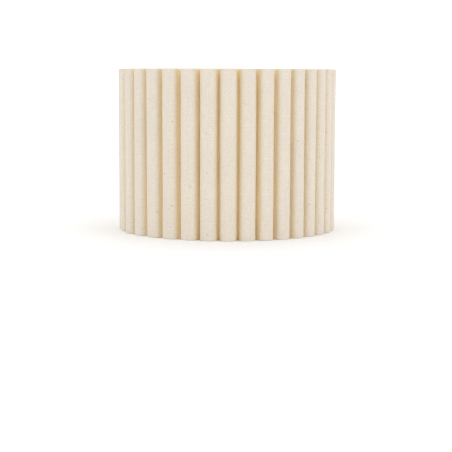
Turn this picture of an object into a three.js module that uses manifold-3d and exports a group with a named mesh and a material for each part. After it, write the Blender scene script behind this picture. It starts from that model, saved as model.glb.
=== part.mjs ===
// Pleated drum lamp shade, in millimetres. +Z is up and Z = 0 is the plane of the bottom rim.
// The origin is on the drum's axis. Angles run round that axis from the front (-Y) towards +X.
//
// From the outside in: pleated cloth, its stiffener, bonding tape, the liner drum, the wire
// hoops with their rolled edge tape, and three spokes that carry a raised fitter ring.

import * as THREE from "three";
import { mergeVertices } from "three/addons/utils/BufferGeometryUtils.js";
import Module from "manifold-3d";

// Overall
const SHADE_RADIUS = 125; // over the pleat crests
const SHADE_HEIGHT = 184;
const GAP = 0.3; // left between pieces that touch

// Pleats
const PLEAT_COUNT = 36;
const PLEAT_DEPTH = 14; // crest to valley floor
const VALLEY_SHARE = 0.11; // of the pitch, open at the valley floor
const PLEAT_ROUNDNESS = 3; // exponent of the crest's superellipse: 2 is an ellipse
const PLEAT_STEPS = 10; // facets over one pleat
const FIRST_PLEAT_ANGLE = THREE.MathUtils.degToRad(0.8);
const PITCH_DRIFT = THREE.MathUtils.degToRad(4.2); // how far hand folding lets pleats wander
const SIDE_DRIFT = THREE.MathUtils.degToRad(1.6); // how far they crowd away from the front

// Sheet and tape thicknesses
const CLOTH = 0.7;
const STIFFENER = 0.5;
const BONDING_TAPE = 0.4;
const LINER = 0.8;
const SEAM_STRIP = 0.4;
const EDGE_TAPE = 0.5;

// Sheet and tape widths
const STIFFENER_INSET = 1; // below the cover's edges, where the cloth turns in over it
const EDGE_INSET = 0.4; // of the rolled edge from the cover's edges
const LAP_TAB = 8; // length of a cover's end that runs under the other cover
const LAP_TAB_STEPS = 3;
const BONDING_TAPE_WIDTH = 12;
const BONDING_TAPE_INSET = 6; // from the cover's edges
const SEAM_STRIP_WIDTH = 18;
const LINER_SLOT = 0.5; // between the liner's butted ends, at the back
const EDGE_TAPE_LEG = 7; // tape that runs down the liner past the hoop

// Wire frame
const HOOP_WIRE = 3.5;
const SPOKE_WIRE = 3.5;
const SPOKE_COUNT = 3;
const SPOKE_FOOT = 12; // straight length at the hoop
const SPOKE_TOE = 10; // straight length at the fitter
const SPOKE_BEND = 9; // length of each bend, measured along either leg
const SPOKE_STEPS = 18;

// Fitter and its reducer
const FITTER_HEIGHT = 40; // of the fitter's underside, which seats on a lampholder
const FITTER_BORE_RADIUS = 21;
const FITTER_FLAT = 7; // width of the ring's flat, from bore to outer edge
const FITTER_SHEET = 1.6;
const FITTER_LIP_HEIGHT = 2; // turned-up lip round the outside
const REDUCER_BORE_RADIUS = 14.5;
const REDUCER_SEAT = 3.5; // width of the flange that rests on the fitter's flat
const REDUCER_FLANGE = 2; // thickness
const REDUCER_COLLAR_DEPTH = 6; // below the fitter's underside
const REDUCER_WALL = 1.6;

// Roundness of the solids
const RING_STEPS = 60;
const WIRE_SIDES = 8;
const WELD_DISTANCE = 1e-4; // vertices nearer than this are one vertex in a boolean cut
const SLIVER_SHARE = 0.01; // of a ring step: a narrower facet isn't made

// Radii, from the crest inwards
const floorRadius = SHADE_RADIUS - PLEAT_DEPTH;
const coverStack = CLOTH + GAP + STIFFENER;
const bondingOuter = floorRadius - coverStack - GAP;
const linerOuter = bondingOuter - BONDING_TAPE - GAP;
const linerInner = linerOuter - LINER;
const hoopRadius = linerInner - GAP - HOOP_WIRE / 2; // of the wire's centre line
const hoopInner = hoopRadius - HOOP_WIRE / 2;
const edgeTapeInner = hoopInner - GAP - EDGE_TAPE;
const fitterOuter = FITTER_BORE_RADIUS + FITTER_FLAT;

// Heights above the bottom rim; the top is the same, upside down
const rolledEdge = EDGE_INSET + EDGE_TAPE + GAP;
const hoopHeight = rolledEdge + HOOP_WIRE / 2;
const tapeShelf = hoopHeight + HOOP_WIRE / 2 + GAP;
const tapeEnd = tapeShelf + EDGE_TAPE + EDGE_TAPE_LEG;

const finishes = {
  cloth: { color: 0xe3d8c5, roughness: 0.95, metalness: 0 },
  stiffener: { color: 0xf2efe8, roughness: 0.6, metalness: 0 },
  liner: { color: 0xf4f2ec, roughness: 0.5, metalness: 0 },
  tape: { color: 0xece6da, roughness: 0.8, metalness: 0 },
  bonding: { color: 0xe9e2d0, roughness: 0.7, metalness: 0 },
  wire: { color: 0xf0f0ee, roughness: 0.4, metalness: 0.1 },
  plastic: { color: 0xf5f5f3, roughness: 0.45, metalness: 0 },
};

const wasm = await Module();
wasm.setup();

const shade = new THREE.Group();

function addPiece(name, geometry, finish) {
  const mesh = new THREE.Mesh(geometry, new THREE.MeshStandardMaterial(finishes[finish]));
  mesh.name = name;
  shade.add(mesh);
}

function onPlan(radius, angle) {
  return new THREE.Vector2(radius * Math.sin(angle), -radius * Math.cos(angle));
}

// Extrudes a closed outline on the plan from one height to another.
function upright(outline, low, high) {
  const geometry = new THREE.ExtrudeGeometry(new THREE.Shape(outline), {
    depth: high - low,
    bevelEnabled: false,
  });
  return geometry.translate(0, 0, low);
}

// Revolves a closed outline of [radius, height] points about the axis.
function revolved(outline) {
  const points = outline.map(([radius, height]) => new THREE.Vector2(radius, height));
  points.push(points[0].clone());
  return new THREE.LatheGeometry(points, RING_STEPS).rotateX(Math.PI / 2);
}

// A curved wall between two radii and two angles. Its facets line up with the hoops' facets.
function curvedWall(inner, outer, from, to, low, high) {
  const step = (2 * Math.PI) / RING_STEPS;
  const angles = [from];
  for (let i = Math.ceil(from / step + SLIVER_SHARE); i < to / step - SLIVER_SHARE; i += 1) {
    angles.push(i * step);
  }
  angles.push(to);
  const outerSide = angles.map((angle) => onPlan(outer, angle));
  const innerSide = angles.map((angle) => onPlan(inner, angle)).reverse();
  return upright([...outerSide, ...innerSide], low, high);
}

// Pleats. The pitch narrows and widens gently round the drum, as hand folding leaves it.

const pitch = (2 * Math.PI) / PLEAT_COUNT;
const valleyHalf = (VALLEY_SHARE * pitch) / 2;
const pleatHalf = pitch / 2 - valleyHalf;
const lapLift = coverStack + GAP;

function drifted(angle) {
  return angle - PITCH_DRIFT * Math.sin(angle) ** 2 + SIDE_DRIFT * Math.sin(angle);
}

// One face of a cover, set in from the cloth's outside by inset. It starts with a short foot
// that laps over the other cover's tab, and ends with its own tab under the other cover.
function coverFace(firstPleat, pleats, inset) {
  const insetAngle = inset / (SHADE_RADIUS - PLEAT_DEPTH / 2);
  const half = pleatHalf - insetAngle;
  const floor = floorRadius - inset;
  const footEnd = pleatHalf + 2 * valleyHalf - 2 * (GAP / floorRadius);
  const tabSpan = 2 * valleyHalf + LAP_TAB / floorRadius;
  const centreOf = (pleat) => FIRST_PLEAT_ANGLE + pleat * pitch;
  const points = [onPlan(floor + lapLift, drifted(centreOf(firstPleat) - footEnd))];
  for (let pleat = firstPleat; pleat < firstPleat + pleats; pleat += 1) {
    for (let step = 0; step <= PLEAT_STEPS; step += 1) {
      const turn = Math.PI * (1 - step / PLEAT_STEPS);
      const across = Math.sign(Math.cos(turn)) * Math.abs(Math.cos(turn)) ** (2 / PLEAT_ROUNDNESS);
      const rise = Math.abs(Math.sin(turn)) ** (2 / PLEAT_ROUNDNESS);
      const isFoot = pleat === firstPleat && step === 0;
      const height = isFoot ? lapLift : PLEAT_DEPTH * rise;
      points.push(onPlan(floor + height, drifted(centreOf(pleat) + half * across)));
    }
  }
  const lastEdge = centreOf(firstPleat + pleats - 1) + pleatHalf;
  for (let step = 1; step <= LAP_TAB_STEPS; step += 1) {
    points.push(onPlan(floor, drifted(lastEdge + (tabSpan * step) / LAP_TAB_STEPS)));
  }
  return points;
}

function cover(firstPleat, pleats, inset, thickness, edgeInset) {
  const outside = coverFace(firstPleat, pleats, inset);
  const inside = coverFace(firstPleat, pleats, inset + thickness).reverse();
  return upright([...outside, ...inside], edgeInset, SHADE_HEIGHT - edgeInset);
}

function addCovers() {
  const frontPleats = Math.ceil(PLEAT_COUNT / 2);
  const backPleats = PLEAT_COUNT - frontPleats;
  const firstFront = -Math.floor(PLEAT_COUNT / 4);
  const firstBack = firstFront + frontPleats;
  const stiffenerAt = CLOTH + GAP;
  addPiece("cover_fabric_front", cover(firstFront, frontPleats, 0, CLOTH, 0), "cloth");
  addPiece("cover_fabric_back", cover(firstBack, backPleats, 0, CLOTH, 0), "cloth");
  addPiece(
    "cover_stiffener_front",
    cover(firstFront, frontPleats, stiffenerAt, STIFFENER, STIFFENER_INSET),
    "stiffener",
  );
  addPiece(
    "cover_stiffener_back",
    cover(firstBack, backPleats, stiffenerAt, STIFFENER, STIFFENER_INSET),
    "stiffener",
  );
}

// Liner drum, butted at the back, with its seam strip inside and bonding tape outside.

function addLiner() {
  const slotHalf = LINER_SLOT / 2 / linerOuter;
  const from = Math.PI + slotHalf;
  const to = 3 * Math.PI - slotHalf;
  const liner = curvedWall(linerInner, linerOuter, from, to, rolledEdge, SHADE_HEIGHT - rolledEdge);
  addPiece("liner_drum", liner, "liner");

  const stripOuter = linerInner - GAP;
  const stripHalf = SEAM_STRIP_WIDTH / 2 / stripOuter;
  const stripLow = tapeEnd + GAP;
  const strip = curvedWall(
    stripOuter - SEAM_STRIP,
    stripOuter,
    Math.PI - stripHalf,
    Math.PI + stripHalf,
    stripLow,
    SHADE_HEIGHT - stripLow,
  );
  addPiece("liner_seam_strip", strip, "tape");

  const bottomLow = BONDING_TAPE_INSET;
  const topLow = SHADE_HEIGHT - BONDING_TAPE_INSET - BONDING_TAPE_WIDTH;
  for (const [name, low] of [["bonding_tape_bottom", bottomLow], ["bonding_tape_top", topLow]]) {
    const inner = bondingOuter - BONDING_TAPE;
    const tape = curvedWall(inner, bondingOuter, from, to, low, low + BONDING_TAPE_WIDTH);
    addPiece(name, tape, "bonding");
  }
}

// Wire hoops and the edge tape rolled round them.

function hoop(height) {
  const outline = [];
  for (let side = 0; side < WIRE_SIDES; side += 1) {
    const turn = (2 * Math.PI * (side + 0.5)) / WIRE_SIDES;
    const wire = HOOP_WIRE / 2;
    outline.push([hoopRadius + wire * Math.cos(turn), height + wire * Math.sin(turn)]);
  }
  return revolved(outline);
}

// The tape's section at the bottom: under the liner and hoop, up inside the hoop, back out
// over it, and up the liner. flip turns a height over for the top edge.
function edgeTape(flip) {
  const outline = [
    [linerOuter, EDGE_INSET],
    [linerOuter, EDGE_INSET + EDGE_TAPE],
    [edgeTapeInner + EDGE_TAPE, EDGE_INSET + EDGE_TAPE],
    [edgeTapeInner + EDGE_TAPE, tapeShelf],
    [linerInner - GAP, tapeShelf],
    [linerInner - GAP, tapeEnd],
    [linerInner - GAP - EDGE_TAPE, tapeEnd],
    [linerInner - GAP - EDGE_TAPE, tapeShelf + EDGE_TAPE],
    [edgeTapeInner, tapeShelf + EDGE_TAPE],
    [edgeTapeInner, EDGE_INSET],
  ].map(([radius, height]) => [radius, flip ? SHADE_HEIGHT - height : height]);
  return revolved(flip ? outline.reverse() : outline);
}

// Spokes. Each leaves the bottom hoop level, rises, and meets the fitter's edge level.

const spokeStart = hoopInner - GAP;
const spokeEnd = fitterOuter + GAP;
const spokeTop = FITTER_HEIGHT + FITTER_SHEET / 2;

function spokePath(start) {
  const at = (radius, height) => new THREE.Vector3(0, -radius, height);
  const knee = at(spokeStart - SPOKE_FOOT, hoopHeight);
  const ankle = at(spokeEnd + SPOKE_TOE, spokeTop);
  const rise = new THREE.Vector3().subVectors(ankle, knee).setLength(SPOKE_BEND);
  const level = at(-SPOKE_BEND, 0);
  const kneeIn = knee.clone().sub(level);
  const kneeOut = knee.clone().add(rise);
  const ankleIn = ankle.clone().sub(rise);
  const ankleOut = ankle.clone().add(level);
  const path = new THREE.CurvePath();
  path.add(new THREE.LineCurve3(at(start, hoopHeight), kneeIn));
  path.add(new THREE.QuadraticBezierCurve3(kneeIn, knee, kneeOut));
  path.add(new THREE.LineCurve3(kneeOut, ankleIn));
  path.add(new THREE.QuadraticBezierCurve3(ankleIn, ankle, ankleOut));
  path.add(new THREE.LineCurve3(ankleOut, at(spokeEnd, spokeTop)));
  return path;
}

function spoke(radius, start, angle) {
  const section = new THREE.Shape();
  for (let side = 0; side < WIRE_SIDES; side += 1) {
    const turn = (2 * Math.PI * (side + 0.5)) / WIRE_SIDES;
    const x = radius * Math.cos(turn);
    const y = radius * Math.sin(turn);
    if (side === 0) section.moveTo(x, y);
    else section.lineTo(x, y);
  }
  const geometry = new THREE.ExtrudeGeometry(section, {
    steps: SPOKE_STEPS,
    extrudePath: spokePath(start),
    bevelEnabled: false,
  });
  return geometry.rotateZ(angle);
}

// Boolean cut, for the notches that let the spokes through the bottom edge tape.

function asSolid(geometry) {
  const bare = new THREE.BufferGeometry();
  bare.setAttribute("position", geometry.getAttribute("position"));
  bare.setIndex(geometry.getIndex());
  const merged = mergeVertices(bare, WELD_DISTANCE);
  const vertProperties = new Float32Array(merged.getAttribute("position").array);
  const triVerts = new Uint32Array(merged.getIndex().array);
  return new wasm.Manifold(new wasm.Mesh({ numProp: 3, vertProperties, triVerts }));
}

function asGeometry(solid) {
  const mesh = solid.getMesh();
  const geometry = new THREE.BufferGeometry();
  geometry.setAttribute("position", new THREE.BufferAttribute(mesh.vertProperties, 3));
  geometry.setIndex(new THREE.BufferAttribute(mesh.triVerts, 1));
  return geometry;
}

function addFrame() {
  addPiece("top_ring", hoop(SHADE_HEIGHT - hoopHeight), "wire");
  addPiece("bottom_ring", hoop(hoopHeight), "wire");
  addPiece("edge_tape_top", edgeTape(true), "tape");

  let bottomTape = asSolid(edgeTape(false));
  const notchStart = hoopRadius;
  const notchRadius = (SPOKE_WIRE / 2 + GAP) / Math.cos(Math.PI / WIRE_SIDES);
  for (let index = 0; index < SPOKE_COUNT; index += 1) {
    const angle = (2 * Math.PI * index) / SPOKE_COUNT;
    bottomTape = bottomTape.subtract(asSolid(spoke(notchRadius, notchStart, angle)));
    addPiece(`spoke_${index + 1}`, spoke(SPOKE_WIRE / 2, spokeStart, angle), "wire");
  }
  addPiece("edge_tape_bottom", asGeometry(bottomTape), "tape");
}

// Fitter ring, and the reducer that drops into it.

function addFitter() {
  const top = FITTER_HEIGHT + FITTER_SHEET;
  const lipInner = fitterOuter - FITTER_SHEET;
  const fitter = revolved([
    [FITTER_BORE_RADIUS, FITTER_HEIGHT],
    [fitterOuter, FITTER_HEIGHT],
    [fitterOuter, top + FITTER_LIP_HEIGHT],
    [lipInner, top + FITTER_LIP_HEIGHT],
    [lipInner, top],
    [FITTER_BORE_RADIUS, top],
  ]);
  addPiece("fitter_ring", fitter, "wire");

  const seat = top + GAP;
  const collarOuter = FITTER_BORE_RADIUS - GAP;
  const collarInner = collarOuter - REDUCER_WALL;
  const collarLow = FITTER_HEIGHT - REDUCER_COLLAR_DEPTH;
  const flangeOuter = FITTER_BORE_RADIUS + REDUCER_SEAT;
  const reducer = revolved([
    [REDUCER_BORE_RADIUS, seat],
    [collarInner, seat],
    [collarInner, collarLow],
    [collarOuter, collarLow],
    [collarOuter, seat],
    [flangeOuter, seat],
    [flangeOuter, seat + REDUCER_FLANGE],
    [REDUCER_BORE_RADIUS, seat + REDUCER_FLANGE],
  ]);
  addPiece("reducer_ring", reducer, "plastic");
}

addCovers();
addLiner();
addFrame();
addFitter();

export default shade;
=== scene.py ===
import math

import bpy
import numpy as np
from mathutils import Euler, Matrix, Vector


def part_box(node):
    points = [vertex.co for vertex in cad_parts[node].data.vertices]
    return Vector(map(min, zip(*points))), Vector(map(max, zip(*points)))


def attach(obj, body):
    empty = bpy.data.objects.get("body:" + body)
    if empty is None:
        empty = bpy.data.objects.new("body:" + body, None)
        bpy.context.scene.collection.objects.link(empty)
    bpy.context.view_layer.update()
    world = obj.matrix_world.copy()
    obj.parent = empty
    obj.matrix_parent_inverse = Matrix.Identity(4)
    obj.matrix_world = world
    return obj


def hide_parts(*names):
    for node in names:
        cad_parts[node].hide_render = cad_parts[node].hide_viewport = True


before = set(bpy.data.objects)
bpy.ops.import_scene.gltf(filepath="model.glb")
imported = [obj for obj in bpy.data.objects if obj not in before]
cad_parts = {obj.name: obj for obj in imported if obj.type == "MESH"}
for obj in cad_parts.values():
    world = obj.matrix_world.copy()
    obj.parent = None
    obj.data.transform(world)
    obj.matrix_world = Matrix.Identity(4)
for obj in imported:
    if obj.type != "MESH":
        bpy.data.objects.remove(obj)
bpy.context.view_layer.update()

# Every length is in metres unless its name says otherwise. Angles on the plan run round the
# axis from the front (-Y) towards +X, and pleats are numbered that way from the front one, 0.

MM = 0.001

# ---------------------------------------------------------------- sizes shared with the CAD

PLEAT_COUNT = 36
PLEATS_PER_COVER = 18
FIRST_FRONT_PLEAT = -9
FIRST_BACK_PLEAT = 9
FIRST_PLEAT_ANGLE = math.radians(0.8)
PITCH_DRIFT = math.radians(4.2)
SIDE_DRIFT = math.radians(1.6)
PLEAT_DEPTH = 14 * MM
PLEAT_ROUNDNESS = 3
VALLEY_SHARE = 0.11
LAP_TAB = 8 * MM
FLOOR_RADIUS = 111 * MM  # of the cloth at the bottom of a valley

GAP = 0.3 * MM  # between pieces that are glued, taped or welded
LINER_WALL = 0.8 * MM
HOOP_WIRE = 3.5 * MM
SPOKE_WIRE = 3.5 * MM
SPOKE_FOOT = 12 * MM
SPOKE_TOE = 10 * MM
SPOKE_BEND = 9 * MM
SPOKE_COUNT = 3
FITTER_BORE = 21 * MM
FITTER_SHEET = 1.6 * MM
REDUCER_BORE = 14.5 * MM
REDUCER_FLANGE = 2 * MM
COLLAR_OUTER = FITTER_BORE - GAP
COLLAR_WALL = 1.6 * MM
TAPE_LEG = 7 * MM  # of the edge tape, along the liner

# ---------------------------------------------------------------- sizes of the covers' detail

CLOTH = 0.5 * MM
HEM_ROLL = 1.1 * MM  # radius of the cloth's turn over the stiffener's edge
HEM_RETURN = 5.2 * MM  # down inside from the edge
STIFFENER = 0.45 * MM
STIFFENER_OFFSET = 1.12 * MM  # of its middle, in from the cloth's outside
STIFFENER_EDGE = 0.9 * MM  # in from each rim
LAP_LIFT = 2.6 * MM  # of the covering end over the tab below it
LAP_STOP = 0.6 * MM  # by which the covering end falls short of the next pleat
FOLD_SOFTNESS = 0.6 * MM  # how far along the cloth its folds are smoothed

# Each pleat's own unevenness, as half of the most that it can be.
PLEAT_SHIFT = 0.16 * MM  # sideways
PLEAT_SPREAD = 0.14 * MM  # in half its width
PLEAT_SWELL = 0.22 * MM  # in and out
PLEAT_SHORT = 0.1 * MM  # how far its ends stop from each rim

# ----------------------------------------------------------- sizes of the liner's and tapes' detail

LINER_JOINT = 0.5 * MM  # between the liner's two ends
SEAM_STRIP = 0.3 * MM
SEAM_STRIP_OFFSET = 0.35 * MM  # of its middle, in from the liner
BONDING_FILM = 0.2 * MM
BONDING_OFFSET = 0.3 * MM  # of its middle, in from the outside of the CAD's tape
EDGE_TAPE = 0.5 * MM
EDGE_TAPE_GAP = 0.35 * MM  # between the liner and the tape's leg
SEAM_STRIP_RIPPLE = 0.15 * MM  # how far a cut edge wanders
BONDING_RIPPLE = 0.4 * MM
EDGE_TAPE_RIPPLE = 0.35 * MM
SLIT_PLAY = 0.35 * MM  # round a spoke, where it comes out through the edge tape
SLIT_START = 1.6 * MM  # in from the middle of the hoop's wire
SLIT_END = 96 * MM  # from the axis, clear of the tape

# -------------------------------------------------------------------------- sizes of the welds

WELD_GAP = 0.2 * MM  # between a spoke's end and what it is welded to
BEAD_RADIUS = 2.05 * MM
BEAD_REACH = 1.5 * MM  # from its middle to each end
BEAD_INSET = 0.9 * MM  # of its middle, in from the hoop's wire
BEAD_TAPER = 0.98  # at 1, a bead's ends would be points
BEAD_ROUGHNESS_MM = 0.05

# ---------------------------------------------------------------------------- steps of the meshes

PLAN_STEP = 0.15 * MM  # along the line that the folds are smoothed on
PATH_STEP = 0.9 * MM  # along the cloth
LAP_POINTS = 20
PLEAT_POINTS = 240
TAB_POINTS = 60
COVER_LEVELS = 27
HEM_POINTS = 9
RETURN_LEVELS = 4
STIFFENER_LEVELS = 20
BAND_LEVELS = 14
RING_STEPS = 240
SEAM_STRIP_STEPS = 24
TAPE_POINTS = 6  # on each straight stretch of an edge tape's section
TAPE_WRAP_POINTS = 22
TAPE_CROOK_POINTS = 7
HOOP_SIDES = 16
SPOKE_SIDES = 20
SPOKE_BEND_POINTS = 14
SPOKE_RISE_POINTS = 16
SPOKE_LEVEL_POINTS = 5
BEAD_SIDES = 16
BEAD_POINTS = 13

SEED = 36
seeded = np.random.default_rng(SEED)

# ----------------------------------------------------------------------------- places in the CAD

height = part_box("cover_fabric_front")[1].z
liner_lo, liner_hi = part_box("liner_drum")
liner_outer = liner_hi.x
liner_inner = liner_outer - LINER_WALL
hoop_lo, hoop_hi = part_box("bottom_ring")
hoop_height = (hoop_lo.z + hoop_hi.z) / 2
top_hoop_height = height - hoop_height
hoop_radius = liner_inner - GAP - HOOP_WIRE / 2
strip_lo, strip_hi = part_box("liner_seam_strip")
fitter_lo, fitter_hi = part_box("fitter_ring")
fitter_outer = fitter_hi.x
fitter_top = fitter_lo.z + FITTER_SHEET
reducer_lo, reducer_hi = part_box("reducer_ring")
spoke_top = fitter_lo.z + FITTER_SHEET / 2
spoke_angles = [2 * math.pi * index / SPOKE_COUNT for index in range(SPOKE_COUNT)]


# ----------------------------------------------------------------------------- mesh helpers


def add_object(name, points, faces, uvs=None, sharp=50):
    """A mesh object from points and faces. uvs gives each point its place on the flat cloth, and
    edges that turn by more than sharp, in degrees, aren't smoothed over."""
    mesh = bpy.data.meshes.new(name)
    mesh.from_pydata([tuple(map(float, p)) for p in points], [], faces)
    mesh.validate()
    if uvs is not None:
        layer = mesh.uv_layers.new(name="flat")
        corners = np.empty(len(mesh.loops), dtype=np.int32)
        mesh.loops.foreach_get("vertex_index", corners)
        layer.data.foreach_set("uv", np.asarray(uvs, dtype=np.float32)[corners].ravel())
    mesh.shade_smooth()
    mesh.set_sharp_from_angle(angle=math.radians(sharp))
    made = bpy.data.objects.new(name, mesh)
    bpy.context.scene.collection.objects.link(made)
    return made


def finish_piece(piece, material, body, replaced=()):
    """Gives a piece its material and body, and hides the CAD nodes that it stands for."""
    piece.data.materials.clear()
    piece.data.materials.append(material)
    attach(piece, body)
    if replaced:
        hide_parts(*replaced)
    return piece


def on_plan(radius, angle):
    """The (x, y) of points on the plan."""
    return np.stack([radius * np.sin(angle), -radius * np.cos(angle)], axis=-1)


def grid_faces(rows, columns, start, flip, wrap):
    """Quads of a rows by columns grid of points. wrap joins the last row to the first."""
    faces = []
    for i in range(rows if wrap else rows - 1):
        below = start + i * columns
        above = start + ((i + 1) % rows) * columns
        for j in range(columns - 1):
            quad = (below + j, above + j, above + j + 1, below + j + 1)
            faces.append(quad[::-1] if flip else quad)
    return faces


def thick_sheet(name, outside, inside, flat, wrap=False):
    """A closed sheet between two grids of points, outside and inside, each rows by columns by 3.
    flat gives each grid point's place on the flat cloth. wrap closes the rows into a ring."""
    rows, columns = outside.shape[:2]
    count = rows * columns
    points = np.concatenate([outside.reshape(-1, 3), inside.reshape(-1, 3)])
    faces = grid_faces(rows, columns, 0, False, wrap)
    faces += grid_faces(rows, columns, count, True, wrap)
    for i in range(rows if wrap else rows - 1):
        here, there = i * columns, ((i + 1) % rows) * columns
        end = columns - 1
        faces.append((here, here + count, there + count, there))
        faces.append((here + end, there + end, there + end + count, here + end + count))
    if not wrap:
        last = (rows - 1) * columns
        for j in range(columns - 1):
            faces.append((j, j + 1, j + 1 + count, j + count))
            faces.append((last + j, last + j + count, last + j + 1 + count, last + j + 1))
    uvs = np.concatenate([flat.reshape(-1, 2)] * 2)
    return add_object(name, points, faces, uvs)


def revolved(name, outline, steps=RING_STEPS):
    """A ring from a closed outline of (radius, height) points."""
    outline = np.asarray(outline)
    angles = np.arange(steps) * 2 * math.pi / steps
    plan = on_plan(outline[None, :, 0], angles[:, None])
    heights = np.broadcast_to(outline[None, :, 1:], (steps, len(outline), 1))
    points = np.concatenate([plan, heights], axis=-1).reshape(-1, 3)
    sides = len(outline)
    faces = []
    for i in range(steps):
        for j in range(sides):
            here, there = i * sides, ((i + 1) % steps) * sides
            k = (j + 1) % sides
            faces.append((here + j, there + j, there + k, here + k))
    return add_object(name, points, faces)


def bezier(start, corner, end, steps):
    """A curve from start to end that bends at corner."""
    t = np.linspace(0, 1, steps)[:, None]
    return (1 - t) ** 2 * start + 2 * t * (1 - t) * corner + t**2 * end


def rounded(corners, steps=5):
    """A closed outline from corners, each a (radius, height, rounding)."""
    places = [np.array(corner[:2]) for corner in corners]
    outline = []
    for i, place in enumerate(places):
        before = places[i - 1] - place
        after = places[(i + 1) % len(places)] - place
        room = 0.49 * min(np.linalg.norm(before), np.linalg.norm(after))
        reach = min(corners[i][2], room)
        start = place + before / np.linalg.norm(before) * reach
        end = place + after / np.linalg.norm(after) * reach
        outline.append(bezier(start, place, end, steps))
    return np.concatenate(outline)


def ribbon(line, thickness):
    """The two sides of a ribbon about a line of (across, up) points: right side, left side."""
    line = np.asarray(line)
    along = np.gradient(line, axis=0)
    along /= np.linalg.norm(along, axis=1, keepdims=True)
    normal = np.stack([along[:, 1], -along[:, 0]], axis=1)
    return line + normal * thickness / 2, line - normal * thickness / 2


def lengths_along(line):
    """The distance along a line to each of its points."""
    steps = np.linalg.norm(np.diff(line, axis=0), axis=1)
    return np.concatenate([[0], np.cumsum(steps)])


def arc(centre, radius, start, end, steps):
    """Points round a circle on the (radius, height) plane, between two angles in degrees."""
    turn = np.radians(np.linspace(start, end, steps))
    return np.stack([centre[0] + radius * np.cos(turn), centre[1] + radius * np.sin(turn)], axis=1)


def upright(across, heights):
    """A stretch of a section that goes straight up or down."""
    return np.stack([np.full(len(heights), across), heights], axis=1)


def tube(name, path, radius, sides=SPOKE_SIDES, swell=None):
    """A closed round bar along a 3-D path in the plane x = 0. swell scales its radius along it."""
    path = np.asarray(path)
    along = np.gradient(path, axis=0)
    along /= np.linalg.norm(along, axis=1, keepdims=True)
    across = np.array([1.0, 0.0, 0.0])
    points, faces = [], []
    scale = np.full(len(path), radius) if swell is None else radius * np.asarray(swell)
    for place, forward, size in zip(path, along, scale):
        up = np.cross(forward, across)
        for k in range(sides):
            turn = 2 * math.pi * k / sides
            points.append(place + size * (math.cos(turn) * across + math.sin(turn) * up))
    for i in range(len(path) - 1):
        for k in range(sides):
            n = (k + 1) % sides
            here, there = i * sides, (i + 1) * sides
            faces.append((here + k, here + n, there + n, there + k))
    last = (len(path) - 1) * sides
    faces.append(tuple(reversed(range(sides))))
    faces.append(tuple(last + k for k in range(sides)))
    return add_object(name, points, faces, sharp=70)


def turned(piece, angle):
    """Turns a piece's mesh about the drum's axis."""
    piece.data.transform(Matrix.Rotation(angle, 4, "Z"))
    return piece


# ----------------------------------------------------------------------------- materials


def new_material(name, **constants):
    """A material with its constants on the shader's own sockets, its nodes and its shader."""
    material = bpy.data.materials.new(name)
    material.use_nodes = True
    tree = material.node_tree
    shader = tree.nodes["Principled BSDF"]
    for socket, value in constants.items():
        shader.inputs[socket.replace("_", " ")].default_value = value
    return material, tree, shader


def node(tree, kind, inputs=None, **settings):
    """A shader node. inputs gives its sockets, by name or number, a value or a link."""
    made = tree.nodes.new("ShaderNode" + kind)
    for key, value in settings.items():
        setattr(made, key, value)
    for key, value in (inputs or {}).items():
        if isinstance(value, bpy.types.NodeSocket):
            tree.links.new(value, made.inputs[key])
        else:
            made.inputs[key].default_value = value
    return made


def maths(tree, operation, *values):
    return node(tree, "Math", dict(enumerate(values)), operation=operation).outputs[0]


def blend(tree, kind, factor, a, b):
    """One colour socket from two, a and b, by factor."""
    inputs = {0: factor, 6: a, 7: b}
    return node(tree, "Mix", inputs, data_type="RGBA", blend_type=kind).outputs[2]


def toned(tree, colour, shade):
    """A colour made lighter or darker by a number."""
    grey = node(tree, "CombineXYZ", {0: shade, 1: shade, 2: shade}).outputs[0]
    return blend(tree, "MULTIPLY", 1.0, colour, grey)


def noise(tree, vector, scale, detail=2.0, stretch=(1, 1, 1), roughness=0.5):
    placed = node(tree, "Mapping", {"Vector": vector, "Scale": stretch}).outputs[0]
    inputs = {"Vector": placed, "Scale": scale, "Detail": detail, "Roughness": roughness}
    return node(tree, "TexNoise", inputs).outputs[0]


def ranged(tree, value, low, high, to_low, to_high, smooth=False):
    """A value carried from one range to another, and kept inside it."""
    inputs = {"Value": value, 1: low, 2: high, 3: to_low, 4: to_high}
    kind = "SMOOTHSTEP" if smooth else "LINEAR"
    return node(tree, "MapRange", inputs, interpolation_type=kind, clamp=True).outputs[0]


def ramp(tree, value, stops):
    """A colour for a value, from stops of (place, colour)."""
    made = node(tree, "ValToRGB", {0: value})
    elements = made.color_ramp.elements
    while len(elements) < len(stops):
        elements.new(0.5)
    for element, (place, colour) in zip(elements, stops):
        element.position = place
        element.color = (*colour, 1)
    return made.outputs[0]


def bump(tree, shader, value, distance, strength):
    inputs = {"Height": value, "Distance": distance, "Strength": strength}
    tree.links.new(node(tree, "Bump", inputs).outputs[0], shader.inputs["Normal"])


def weave(tree, uv, pitch, wander):
    """Height of a plain weave from 0 to 1, with yarns that wander."""
    drift = noise(tree, uv, 160)
    drift = ranged(tree, drift, 0, 1, -wander, wander)
    split = node(tree, "SeparateXYZ", {0: uv}).outputs
    turns = []
    for socket in (split[0], split[1]):
        count = maths(tree, "MULTIPLY_ADD", socket, math.pi / pitch, drift)
        turns.append(maths(tree, "SINE", count))
    over = maths(tree, "MULTIPLY", turns[0], turns[1])
    over = ranged(tree, over, -0.5, 0.5, 0, 1, smooth=True)
    warp = maths(tree, "MULTIPLY", maths(tree, "ABSOLUTE", turns[0]), over)
    under = maths(tree, "SUBTRACT", 1.0, over)
    weft = maths(tree, "MULTIPLY", maths(tree, "ABSOLUTE", turns[1]), under)
    return maths(tree, "ADD", warp, weft)


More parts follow.
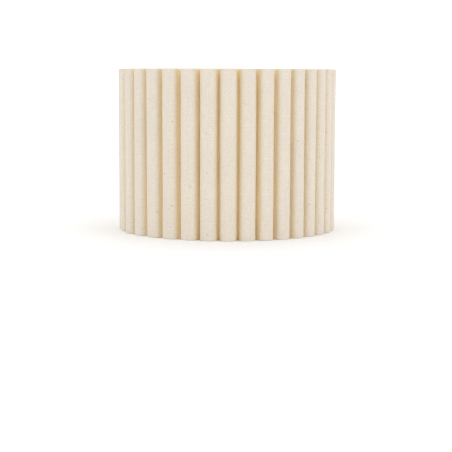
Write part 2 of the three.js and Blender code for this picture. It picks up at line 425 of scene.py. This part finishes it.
CLOTH_YARN = 0.62 * MM
CLOTH_RELIEF = 0.12 * MM
FLECK_CELLS = (100, 180, 1)  # to a metre of cloth
FLECK_COLOUR = (0.34, 0.24, 0.15, 1)
TAPE_YARN = 0.5 * MM
TAPE_RELIEF = 0.1 * MM

# Painted shade and light down in the folds, standing in for light passed from wall to wall: a
# fold's sides are painted warmer than its crown, fully so nearer the axis than the sides' _FROM
# radius, and its floor is painted paler, fully so inside the floor's _FROM radius.
WALL_PAINTED_SHADE_FROM = FLOOR_RADIUS + 0.6 * PLEAT_DEPTH
WALL_PAINTED_SHADE_TO = FLOOR_RADIUS + 0.97 * PLEAT_DEPTH
WALL_PAINTED_SHADE = (1.0, 0.96, 0.8, 1)
FLOOR_PAINTED_LIGHT_FROM = FLOOR_RADIUS + 0.35 * PLEAT_DEPTH
FLOOR_PAINTED_LIGHT_TO = FLOOR_RADIUS + 0.65 * PLEAT_DEPTH
FLOOR_PAINTED_LIGHT = (1.22, 1.25, 1.3, 1)


def cloth_material():
    """Oatmeal linen-look cloth: uneven yarns, slubs both ways, sparse brown flecks, and painted warm
    shade on the walls and painted light on the floor down in its folds."""
    material, tree, shader = new_material(
        "flecked_cloth",
        Roughness=0.92,
        Sheen_Weight=0.25,
        Sheen_Roughness=0.5,
        Specular_IOR_Level=0.25,
    )
    uv = node(tree, "UVMap", uv_map="flat").outputs[0]
    yarns = weave(tree, uv, CLOTH_YARN, wander=1.3)
    slubs_along = noise(tree, uv, 1.0, detail=3.0, stretch=(70, 1500, 1))
    slubs_up = noise(tree, uv, 1.0, detail=3.0, stretch=(1500, 70, 1))
    slubs = maths(tree, "ADD", slubs_along, slubs_up)
    mottle = noise(tree, uv, 420, detail=3.0, roughness=0.65)
    cloud = noise(tree, uv, 28)

    oatmeal = [
        (0.25, (0.74, 0.655, 0.545)),
        (0.5, (0.795, 0.715, 0.608)),
        (0.78, (0.84, 0.77, 0.672)),
    ]
    base = ramp(tree, mottle, oatmeal)
    shade = ranged(tree, slubs, 0.7, 1.3, 0.93, 1.05)
    shade = maths(tree, "MULTIPLY", shade, ranged(tree, yarns, 0, 1, 0.93, 1.02))
    shade = maths(tree, "MULTIPLY", shade, ranged(tree, cloud, 0.3, 0.7, 0.985, 1.01))
    base = toned(tree, base, shade)

    fleck_uv = node(tree, "Mapping", {"Vector": uv, "Scale": FLECK_CELLS}).outputs[0]
    cells = node(tree, "TexVoronoi", {"Vector": fleck_uv, "Scale": 1.0})
    near = ranged(tree, cells.outputs["Distance"], 0.035, 0.12, 1, 0, smooth=True)
    chosen = node(tree, "SeparateXYZ", {0: cells.outputs["Color"]}).outputs
    dark = maths(tree, "MULTIPLY", near, ranged(tree, chosen[0], 0.35, 0.95, 0, 0.9))
    base = blend(tree, "MIX", dark, base, FLECK_COLOUR)

    place = node(tree, "TexCoord").outputs["Object"]
    flat_place = node(tree, "Mapping", {"Vector": place, "Scale": (1, 1, 0)}).outputs[0]
    radius = node(tree, "VectorMath", {0: flat_place}, operation="LENGTH").outputs["Value"]
    # Painted warm shade on a fold's walls, fully so nearest the axis.
    side = ranged(tree, radius, WALL_PAINTED_SHADE_FROM, WALL_PAINTED_SHADE_TO, 1, 0, smooth=True)
    shaded_wall = blend(tree, "MULTIPLY", 1.0, base, WALL_PAINTED_SHADE)
    base = blend(tree, "MIX", side, base, shaded_wall)
    # Painted light on a fold's floor, palest deepest in.
    floor_light_mask = ranged(tree, radius, FLOOR_PAINTED_LIGHT_FROM, FLOOR_PAINTED_LIGHT_TO, 1, 0, smooth=True)
    lit_floor = blend(tree, "MULTIPLY", 1.0, base, FLOOR_PAINTED_LIGHT)
    base = blend(tree, "MIX", floor_light_mask, base, lit_floor)
    tree.links.new(base, shader.inputs["Base Color"])

    relief = maths(tree, "MULTIPLY_ADD", slubs, 0.8, yarns)
    bump(tree, shader, relief, CLOTH_RELIEF, 0.5)
    return material


def woven_tape_material():
    """Plain off-white tape in a close weave."""
    material, tree, shader = new_material("woven_tape", Roughness=0.85, Sheen_Weight=0.15)
    uv = node(tree, "UVMap", uv_map="flat").outputs[0]
    yarns = weave(tree, uv, TAPE_YARN, wander=0.5)
    blotch = noise(tree, uv, 260, detail=3.0)
    base = ramp(tree, blotch, [(0.3, (0.74, 0.70, 0.62)), (0.7, (0.84, 0.81, 0.74))])
    shade = ranged(tree, yarns, 0, 1, 0.86, 1.03)
    tree.links.new(toned(tree, base, shade), shader.inputs["Base Color"])
    bump(tree, shader, yarns, TAPE_RELIEF, 0.6)
    return material


def sheet_material(name, light, dark, roughness, grain, relief):
    """A plastic or paper sheet with a fine grain and faint blotches."""
    material, tree, shader = new_material(name)
    place = node(tree, "TexCoord").outputs["Object"]
    blotch = noise(tree, place, 45, detail=4.0)
    fine = noise(tree, place, grain, detail=3.0, roughness=0.6)
    base = ramp(tree, blotch, [(0.3, dark), (0.7, light)])
    shade = ranged(tree, fine, 0.3, 0.7, 0.97, 1.02)
    tree.links.new(toned(tree, base, shade), shader.inputs["Base Color"])
    rough = ranged(tree, blotch, 0.3, 0.7, roughness - 0.06, roughness + 0.06)
    tree.links.new(rough, shader.inputs["Roughness"])
    bump(tree, shader, fine, relief, 0.5)
    return material


def coated_material(name, light, dark, roughness, grain, relief, coat=0.0):
    """Paint or powder coating with orange peel, or moulded plastic with a fine spark finish."""
    material, tree, shader = new_material(name, Coat_Weight=coat, Coat_Roughness=0.2)
    place = node(tree, "TexCoord").outputs["Object"]
    peel = noise(tree, place, grain)
    stain = noise(tree, place, 70, detail=5.0, roughness=0.7)
    tree.links.new(ramp(tree, stain, [(0.35, dark), (0.6, light)]), shader.inputs["Base Color"])
    rough = ranged(tree, peel, 0.3, 0.7, roughness - 0.07, roughness + 0.07)
    tree.links.new(rough, shader.inputs["Roughness"])
    bump(tree, shader, peel, relief, 0.6)
    return material


cloth = cloth_material()
tape = woven_tape_material()
stiffener = sheet_material(
    "stiffener_sheet",
    light=(0.86, 0.85, 0.81),
    dark=(0.80, 0.78, 0.73),
    roughness=0.42,
    grain=900,
    relief=0.03 * MM,
)
liner = sheet_material(
    "liner_sheet",
    light=(0.88, 0.87, 0.84),
    dark=(0.84, 0.83, 0.79),
    roughness=0.5,
    grain=1400,
    relief=0.04 * MM,
)
bonding = sheet_material(
    "bonding_film",
    light=(0.80, 0.76, 0.66),
    dark=(0.72, 0.67, 0.56),
    roughness=0.35,
    grain=700,
    relief=0.05 * MM,
)
wire = coated_material(
    "coated_wire",
    light=(0.85, 0.85, 0.84),
    dark=(0.80, 0.80, 0.78),
    roughness=0.36,
    grain=900,
    relief=0.03 * MM,
)
steel = coated_material(
    "coated_steel",
    light=(0.85, 0.85, 0.84),
    dark=(0.79, 0.79, 0.77),
    roughness=0.33,
    grain=900,
    relief=0.03 * MM,
    coat=0.1,
)
plastic = coated_material(
    "moulded_plastic",
    light=(0.87, 0.87, 0.85),
    dark=(0.84, 0.84, 0.82),
    roughness=0.42,
    grain=2200,
    relief=0.015 * MM,
)


# ----------------------------------------------------------------------------- pleated covers

pitch = 2 * math.pi / PLEAT_COUNT
valley_half = VALLEY_SHARE * pitch / 2
pleat_half = pitch / 2 - valley_half


def drifted(angle):
    """Where hand folding puts what would be at an angle if every pleat were alike."""
    return angle - PITCH_DRIFT * np.sin(angle) ** 2 + SIDE_DRIFT * np.sin(angle)


def softened(line, sigma):
    """A line sampled at even steps, smoothed. Its ends stay where they are."""
    step = np.linalg.norm(line[1] - line[0])
    reach = int(math.ceil(3 * sigma / step))
    kernel = np.exp(-0.5 * (np.arange(-reach, reach + 1) * step / sigma) ** 2)
    kernel /= kernel.sum()
    before = 2 * line[0] - line[reach:0:-1]
    after = 2 * line[-1] - line[-2 : -reach - 2 : -1]
    padded = np.concatenate([before, line, after])
    return np.stack([np.convolve(padded[:, i], kernel, "valid") for i in range(2)], axis=1)


def cover_line(first_pleat):
    """The plan line of a cover's outside, and for each of its points the pleat that it is on, how
    far across that pleat it is (-1 to 1), and how far up its depth (0 to 1)."""
    centres = FIRST_PLEAT_ANGLE + (first_pleat + np.arange(PLEATS_PER_COVER)) * pitch
    lap_end = pleat_half + 2 * valley_half - LAP_STOP / FLOOR_RADIUS
    tab_span = 2 * valley_half + LAP_TAB / FLOOR_RADIUS
    turn = np.linspace(math.pi, 0, PLEAT_POINTS)
    across = np.sign(np.cos(turn)) * np.abs(np.cos(turn)) ** (2 / PLEAT_ROUNDNESS)
    rise = PLEAT_DEPTH * np.abs(np.sin(turn)) ** (2 / PLEAT_ROUNDNESS)

    def stretch(angle, height_over_floor, pleat, side):
        return np.stack(np.broadcast_arrays(angle, height_over_floor, pleat, side))

    lap = centres[0] + np.linspace(-lap_end, -pleat_half, LAP_POINTS)
    stretches = [stretch(lap, LAP_LIFT, 0, -1)]
    for index, centre in enumerate(centres):
        lift = np.where((across < 0) & (index == 0), LAP_LIFT, 0.0)
        stretches.append(stretch(centre + pleat_half * across, np.maximum(rise, lift), index, across))
    tab = centres[-1] + pleat_half + np.linspace(0, tab_span, TAB_POINTS)[1:]
    stretches.append(stretch(tab, 0, PLEATS_PER_COVER - 1, 1))
    angles, rises, pleats, sides = np.concatenate(stretches, axis=1)

    rough = on_plan(FLOOR_RADIUS + rises, drifted(angles))
    reach = lengths_along(rough)
    fine = np.linspace(0, reach[-1], int(reach[-1] / PLAN_STEP))
    even = np.stack([np.interp(fine, reach, rough[:, i]) for i in range(2)], axis=1)
    even = softened(even, FOLD_SOFTNESS)
    picks = np.linspace(0, len(even) - 1, int(reach[-1] / PATH_STEP)).astype(int)
    marks = (pleats, sides, rises / PLEAT_DEPTH)
    pleat, side, up = (np.interp(fine[picks], reach, mark) for mark in marks)
    return even[picks], np.rint(pleat).astype(int), side, up


def wander(count, amount):
    """A slow change over the height, of its own for each of count pleats: a function of pleats and
    of heights from 0 to 1. It stays within twice the amount."""
    steady, swing, phase, turns = (
        seeded.uniform(-amount, amount, count),
        seeded.uniform(-amount, amount, count),
        seeded.uniform(0, 2 * math.pi, count),
        seeded.uniform(0.4, 1.3, count),
    )
    return lambda pleat, up: steady[pleat, None] + swing[pleat, None] * np.sin(
        2 * math.pi * turns[pleat, None] * up[None, :] + phase[pleat, None]
    )


def cover_surface(first_pleat):
    """A function from (insets, heights) of a section to a grid of points along the cover."""
    line, pleat, side, up = cover_line(first_pleat)
    shift = wander(PLEATS_PER_COVER, PLEAT_SHIFT)
    spread = wander(PLEATS_PER_COVER, PLEAT_SPREAD)
    swell = wander(PLEATS_PER_COVER, PLEAT_SWELL)
    short = wander(PLEATS_PER_COVER, PLEAT_SHORT)
    outward = line / np.linalg.norm(line, axis=1, keepdims=True)
    sideways = np.stack([-outward[:, 1], outward[:, 0]], axis=1)
    free = np.clip(up, 0, 1)[:, None] ** 0.5

    def surface(insets, heights):
        share = heights / height
        aside = free * (shift(pleat, share) + side[:, None] * spread(pleat, share))
        out = free * swell(pleat, share)
        plan = line[:, None] + aside[..., None] * sideways[:, None]
        plan = plan + out[..., None] * outward[:, None]
        along = np.gradient(plan, axis=0)
        along /= np.linalg.norm(along, axis=-1, keepdims=True)
        inward = np.stack([-along[..., 1], along[..., 0]], axis=-1)
        plan = plan + inward * insets[None, :, None]
        rise = heights[None, :] - free * np.abs(short(pleat, share)) * (2 * share - 1)
        return np.concatenate([plan, rise[..., None]], axis=-1)

    return surface, lengths_along(line)


def hem_line():
    """Middle line of the cloth's section as (inset, height): up the outside, over the stiffener's
    edges and a little way back inside, at both rims."""
    middle = CLOTH / 2
    turn = HEM_ROLL - middle
    inner = HEM_ROLL + turn
    returns = np.linspace(HEM_RETURN, HEM_ROLL, RETURN_LEVELS)[:-1]
    levels = np.linspace(HEM_ROLL, height - HEM_ROLL, COVER_LEVELS)[1:-1]
    return np.concatenate(
        [
            upright(inner, returns),
            arc((HEM_ROLL, HEM_ROLL), turn, 360, 180, HEM_POINTS),
            upright(middle, levels),
            arc((HEM_ROLL, height - HEM_ROLL), turn, 180, 0, HEM_POINTS),
            upright(inner, height - returns[::-1]),
        ]
    )


def add_cover(side, first_pleat):
    """A length of pleated cloth, hemmed over its stiffener."""
    surface, lengths = cover_surface(first_pleat)
    section = hem_line()
    inner, outer = ribbon(section, CLOTH)
    widths = lengths_along(section)
    flat = np.stack(np.meshgrid(lengths, widths, indexing="ij"), axis=-1)
    outside = surface(outer[:, 0], outer[:, 1])
    inside = surface(inner[:, 0], inner[:, 1])
    fabric = thick_sheet(f"cloth_cover_{side}", outside, inside, flat)
    finish_piece(fabric, cloth, "shade", [f"cover_fabric_{side}"])

    levels = np.linspace(STIFFENER_EDGE, height - STIFFENER_EDGE, STIFFENER_LEVELS)
    middle = np.full(STIFFENER_LEVELS, STIFFENER_OFFSET)
    board = thick_sheet(
        f"stiffener_{side}",
        surface(middle - STIFFENER / 2, levels),
        surface(middle + STIFFENER / 2, levels),
        np.stack(np.meshgrid(lengths, levels, indexing="ij"), axis=-1),
    )
    finish_piece(board, stiffener, "shade", [f"cover_stiffener_{side}"])


add_cover("front", FIRST_FRONT_PLEAT)
add_cover("back", FIRST_BACK_PLEAT)


# ----------------------------------------------------------------------------- liner and tapes


def curved_band(name, middle, thickness, span, low, high, steps=RING_STEPS, ripple=0.0):
    """An upright band round the axis. span is its two end angles, and ripple lets its edges
    wander."""
    angles = np.linspace(*span, steps)
    levels = np.linspace(low, high, BAND_LEVELS)
    phases = seeded.uniform(0, 2 * math.pi, 3)
    wave = sum(np.sin((k + 2) * 3 * angles + p) for k, p in enumerate(phases)) / 3
    share = (levels - low) / (high - low)
    heights = levels[None, :] + ripple * wave[:, None] * (2 * share[None, :] - 1)
    sides = []
    for radius in (middle + thickness / 2, middle - thickness / 2):
        plan = np.repeat(on_plan(radius, angles)[:, None], len(levels), axis=1)
        sides.append(np.concatenate([plan, heights[..., None]], axis=-1))
    flat = np.stack(np.meshgrid(angles * middle, levels, indexing="ij"), axis=-1)
    return thick_sheet(name, sides[0], sides[1], flat)


joint_half = LINER_JOINT / 2 / liner_outer
around = (math.pi + joint_half, 3 * math.pi - joint_half)
liner_middle = liner_outer - LINER_WALL / 2
drum = curved_band("liner", liner_middle, LINER_WALL, around, liner_lo.z, liner_hi.z)
finish_piece(drum, liner, "shade", ["liner_drum"])

strip_radius = liner_inner - SEAM_STRIP_OFFSET
strip_half = strip_hi.x / strip_radius
strip = curved_band(
    "seam_strip",
    strip_radius,
    SEAM_STRIP,
    (math.pi - strip_half, math.pi + strip_half),
    strip_lo.z,
    strip_hi.z,
    SEAM_STRIP_STEPS,
    SEAM_STRIP_RIPPLE,
)
finish_piece(strip, bonding, "shade", ["liner_seam_strip"])

for rim in ("top", "bottom"):
    band_lo, band_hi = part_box(f"bonding_tape_{rim}")
    band = curved_band(
        f"bonding_band_{rim}",
        band_hi.x - BONDING_OFFSET,
        BONDING_FILM,
        around,
        band_lo.z,
        band_hi.z,
        ripple=BONDING_RIPPLE,
    )
    finish_piece(band, bonding, "shade", [f"bonding_tape_{rim}"])


def rolled_tape_line():
    """Middle line of the bottom edge tape's section as (radius, height): in from the liner's edge,
    round the hoop's inside and out over it, then up the liner."""
    wrap = HOOP_WIRE / 2 + GAP + EDGE_TAPE / 2
    leg = liner_inner - EDGE_TAPE_GAP - EDGE_TAPE / 2
    crook = leg - hoop_radius
    under = np.linspace(liner_outer, hoop_radius, TAPE_POINTS)[:-1]
    start = np.stack([under, np.full(len(under), hoop_height - wrap)], axis=1)
    around_hoop = arc((hoop_radius, hoop_height), wrap, 270, 90, TAPE_WRAP_POINTS)
    crook_centre = (hoop_radius, hoop_height + wrap + crook)
    lift = arc(crook_centre, crook, -90, 0, TAPE_CROOK_POINTS)[1:]
    top = hoop_height + wrap + EDGE_TAPE / 2 + TAPE_LEG
    rise = np.linspace(lift[-1, 1], top, TAPE_POINTS)[1:]
    return np.concatenate([start, around_hoop, lift, upright(leg, rise)])


def add_edge_tape(rim):
    """The tape rolled round a hoop and the liner's edge. The top one mirrors the bottom one."""
    section = rolled_tape_line()
    inner, outer = ribbon(section, EDGE_TAPE)
    widths = lengths_along(section)
    angles = np.arange(RING_STEPS) * 2 * math.pi / RING_STEPS
    phases = seeded.uniform(0, 2 * math.pi, 4)
    waves = sum(np.sin((3 + 5 * k) * angles + p) for k, p in enumerate(phases)) / 4
    up = -1 if rim == "top" else 1
    leg_share = np.clip((widths - widths[-1] + TAPE_LEG) / TAPE_LEG, 0, 1)
    grids = []
    for side in (outer, inner):
        plan = on_plan(side[None, :, 0], angles[:, None])
        levels = height - side[:, 1] if rim == "top" else side[:, 1]
        heights = levels[None, :] + up * EDGE_TAPE_RIPPLE * waves[:, None] * leg_share[None, :]
        grids.append(np.concatenate([plan, heights[..., None]], axis=-1))
    flat = np.stack(np.meshgrid(angles * hoop_radius, widths, indexing="ij"), axis=-1)
    roll = thick_sheet(f"rolled_tape_{rim}", *grids, flat, wrap=True)
    if rim == "bottom":
        cut_for_spokes(roll)
    finish_piece(roll, tape, "shade", [f"edge_tape_{rim}"])


def cut_for_spokes(roll):
    """Cuts the slits that let the spokes out through the bottom tape."""
    reach = np.linspace(hoop_radius - SLIT_START, SLIT_END, 3)
    path = [(0, -y, hoop_height) for y in reach]
    for angle in spoke_angles:
        cutter = turned(tube("cutter", path, SPOKE_WIRE / 2 + SLIT_PLAY), angle)
        cut = roll.modifiers.new("slit", "BOOLEAN")
        cut.operation = "DIFFERENCE"
        cut.solver = "EXACT"
        cut.object = cutter
        bpy.context.view_layer.update()
        result = roll.evaluated_get(bpy.context.evaluated_depsgraph_get())
        shaped = bpy.data.meshes.new_from_object(result)
        roll.modifiers.clear()
        roll.data = shaped
        bpy.data.objects.remove(cutter)


# ----------------------------------------------------------------------------- wire frame

round_wire = [
    (HOOP_WIRE / 2 * math.cos(t), HOOP_WIRE / 2 * math.sin(t))
    for t in np.arange(HOOP_SIDES) * 2 * math.pi / HOOP_SIDES
]
for rim, at in (("bottom", hoop_height), ("top", top_hoop_height)):
    hoop = revolved(f"hoop_{rim}", [(hoop_radius + x, at + z) for x, z in round_wire])
    finish_piece(hoop, wire, "shade", [f"{rim}_ring"])
    add_edge_tape(rim)


def spoke_path(start, end, top):
    """Level out of the hoop, up the rise, and level into the fitter's edge, in the plane x = 0."""
    foot = np.array([0, -start, hoop_height])
    knee = np.array([0, -(start - SPOKE_FOOT), hoop_height])
    ankle = np.array([0, -(end + SPOKE_TOE), top])
    toe = np.array([0, -end, top])
    level = np.array([0, SPOKE_BEND, 0])
    rise = (ankle - knee) / np.linalg.norm(ankle - knee) * SPOKE_BEND
    return np.concatenate(
        [
            np.linspace(foot, knee - level, SPOKE_LEVEL_POINTS)[:-1],
            bezier(knee - level, knee, knee + rise, SPOKE_BEND_POINTS),
            np.linspace(knee + rise, ankle - rise, SPOKE_RISE_POINTS)[1:-1],
            bezier(ankle - rise, ankle, ankle + level, SPOKE_BEND_POINTS),
            np.linspace(ankle + level, toe, SPOKE_LEVEL_POINTS)[1:],
        ]
    )


def add_bead(name, radius, level, angle):
    """A weld bead along a spoke's end, a little uneven."""
    spread = np.linspace(-1, 1, BEAD_POINTS)
    path = [(0, -(radius + BEAD_REACH * s), level) for s in spread]
    dome = np.sqrt(np.clip(1 - (BEAD_TAPER * spread) ** 4, 0, 1))
    bead = turned(tube(name, path, BEAD_RADIUS, BEAD_SIDES, dome), angle)
    for vertex in bead.data.vertices:
        vertex.co.x += seeded.uniform(-BEAD_ROUGHNESS_MM, BEAD_ROUGHNESS_MM) * MM
        vertex.co.z += seeded.uniform(-BEAD_ROUGHNESS_MM, BEAD_ROUGHNESS_MM) * MM
    finish_piece(bead, wire, "shade")


hoop_inside = hoop_radius - HOOP_WIRE / 2
arm = spoke_path(hoop_inside - WELD_GAP, fitter_outer + WELD_GAP, spoke_top)
for number, angle in enumerate(spoke_angles, 1):
    spoke = turned(tube(f"spoke_wire_{number}", arm, SPOKE_WIRE / 2), angle)
    finish_piece(spoke, wire, "shade", [f"spoke_{number}"])
    add_bead(f"weld_fitter_{number}", fitter_outer, spoke_top, angle)
    add_bead(f"weld_hoop_{number}", hoop_inside - BEAD_INSET, hoop_height, angle)


# ----------------------------------------------------------------------------- fitter and reducer

lip_inner = fitter_outer - FITTER_SHEET
fitter_outline = [
    (FITTER_BORE, fitter_lo.z, 0.3 * MM),
    (fitter_outer, fitter_lo.z, 1.4 * MM),
    (fitter_outer, fitter_hi.z, 0.7 * MM),
    (lip_inner, fitter_hi.z, 0.7 * MM),
    (lip_inner, fitter_top, 0.8 * MM),
    (FITTER_BORE, fitter_top, 0.3 * MM),
]
fitter = revolved("fitter", rounded(fitter_outline))
finish_piece(fitter, steel, "shade", ["fitter_ring"])

flange_under = reducer_hi.z - REDUCER_FLANGE
collar_inner = COLLAR_OUTER - COLLAR_WALL
reducer_outline = [
    (REDUCER_BORE, flange_under, 0.35 * MM),
    (collar_inner, flange_under, 0.5 * MM),
    (collar_inner, reducer_lo.z, 0.4 * MM),
    (COLLAR_OUTER, reducer_lo.z, 0.4 * MM),
    (COLLAR_OUTER, flange_under, 0.3 * MM),
    (reducer_hi.x, flange_under, 0.4 * MM),
    (reducer_hi.x, reducer_hi.z, 0.7 * MM),
    (REDUCER_BORE, reducer_hi.z, 0.6 * MM),
]
reducer = revolved("reducer", rounded(reducer_outline))
finish_piece(reducer, plastic, "reducer", ["reducer_ring"])


# ----------------------------------------------------------------------------- studio

# The backdrop is a floor that sweeps up into a wall behind the shade.
FLOOR_FRONT = 9.0  # from the axis to the floor's front edge
FLOOR_BACK = 2.2  # from the axis to where the floor starts to rise
SWEEP_RADIUS = 1.2
SWEEP_POINTS = 16
WALL_HEIGHT = 4.0
HALF_WIDTH = 9.0

sweep_line = [(-FLOOR_FRONT, 0.0)]
for t in np.linspace(0, math.pi / 2, SWEEP_POINTS):
    sweep_line.append((FLOOR_BACK + SWEEP_RADIUS * math.sin(t), SWEEP_RADIUS * (1 - math.cos(t))))
sweep_line.append((FLOOR_BACK + SWEEP_RADIUS, WALL_HEIGHT))
sweep_points = [(side * HALF_WIDTH, y, z) for side in (-1, 1) for y, z in sweep_line]
count = len(sweep_line)
sweep_faces = [(i, i + count, i + count + 1, i + 1) for i in range(count - 1)]
backdrop = add_object("backdrop", sweep_points, sweep_faces, sharp=80)
paper, paper_tree, paper_shader = new_material(
    "backdrop_paper", Roughness=0.95, Specular_IOR_Level=0.1
)
paper_place = node(paper_tree, "TexCoord").outputs["Object"]
fibre = noise(paper_tree, paper_place, 40, detail=4.0)
paper_tone = ramp(paper_tree, fibre, [(0.2, (0.93, 0.93, 0.93)), (0.8, (0.955, 0.955, 0.955))])
paper_tree.links.new(paper_tone, paper_shader.inputs["Base Color"])
backdrop.data.materials.append(paper)

world = bpy.data.worlds.new("studio")
bpy.context.scene.world = world
world.use_nodes = True
sky = world.node_tree.nodes["Background"].inputs
sky["Color"].default_value = (1, 1, 1, 1)
sky["Strength"].default_value = 0.8


def softbox(name, place, target, size, power):
    """A white rectangular light, aimed at target. power is in watts."""
    light = bpy.data.lights.new(name, "AREA")
    light.shape = "RECTANGLE"
    light.size, light.size_y = size
    light.energy = power
    made = bpy.data.objects.new(name, light)
    bpy.context.scene.collection.objects.link(made)
    made.location = place
    made.visible_camera = False
    aim = np.asarray(target) - np.asarray(place)
    tilt = math.acos(-aim[2] / np.linalg.norm(aim))
    made.rotation_euler = Euler((tilt, 0, math.atan2(aim[1], aim[0]) - math.pi / 2))


# Two softboxes light the shade from in front, one lights it from over it, and two light the wall.
drum_middle = (0, 0, height / 2)
front_size = (1.5, 1.7)
wall_size = (1.0, 1.6)
softbox("right_softbox", (1.75, -1.45, 0.75), drum_middle, front_size, 8.5)
softbox("left_softbox", (-1.75, -1.45, 0.75), drum_middle, front_size, 7)
softbox("over", (0, 0.3, 2.4), (0, 0.3, 0), (2.4, 2.4), 18)
softbox("wall_right", (1.6, 1.2, 1.1), (0.8, 3.4, 0.5), wall_size, 22)
softbox("wall_left", (-1.6, 1.2, 1.1), (-0.8, 3.4, 0.5), wall_size, 22)

# The camera stands in front, a little under the top rim's height, and looks down a little.
CAMERA_DISTANCE = 1.4375
CAMERA_HEIGHT = 0.1763
CAMERA_ASIDE = -0.8 * MM
PITCH_DOWN = math.radians(6.93)
ROLL = math.radians(0.2)
IMAGE_WIDTH = 452
FOCAL_PIXELS = 1238
SENSOR_WIDTH_MM = 36
DIFFUSE_BOUNCES = 10  # enough for light deep in narrow, pale folds

lens = bpy.data.cameras.new("camera")
lens.sensor_width = SENSOR_WIDTH_MM
lens.lens = FOCAL_PIXELS * lens.sensor_width / IMAGE_WIDTH
camera = bpy.data.objects.new("camera", lens)
bpy.context.scene.collection.objects.link(camera)
camera.location = (CAMERA_ASIDE, -CAMERA_DISTANCE, CAMERA_HEIGHT)
look = Euler((math.pi / 2 - PITCH_DOWN, 0, 0)).to_matrix() @ Matrix.Rotation(ROLL, 3, "Z")
camera.rotation_euler = look.to_euler()
bpy.context.scene.camera = camera
bpy.context.scene.view_settings.view_transform = "Standard"
bpy.context.scene.cycles.diffuse_bounces = DIFFUSE_BOUNCES
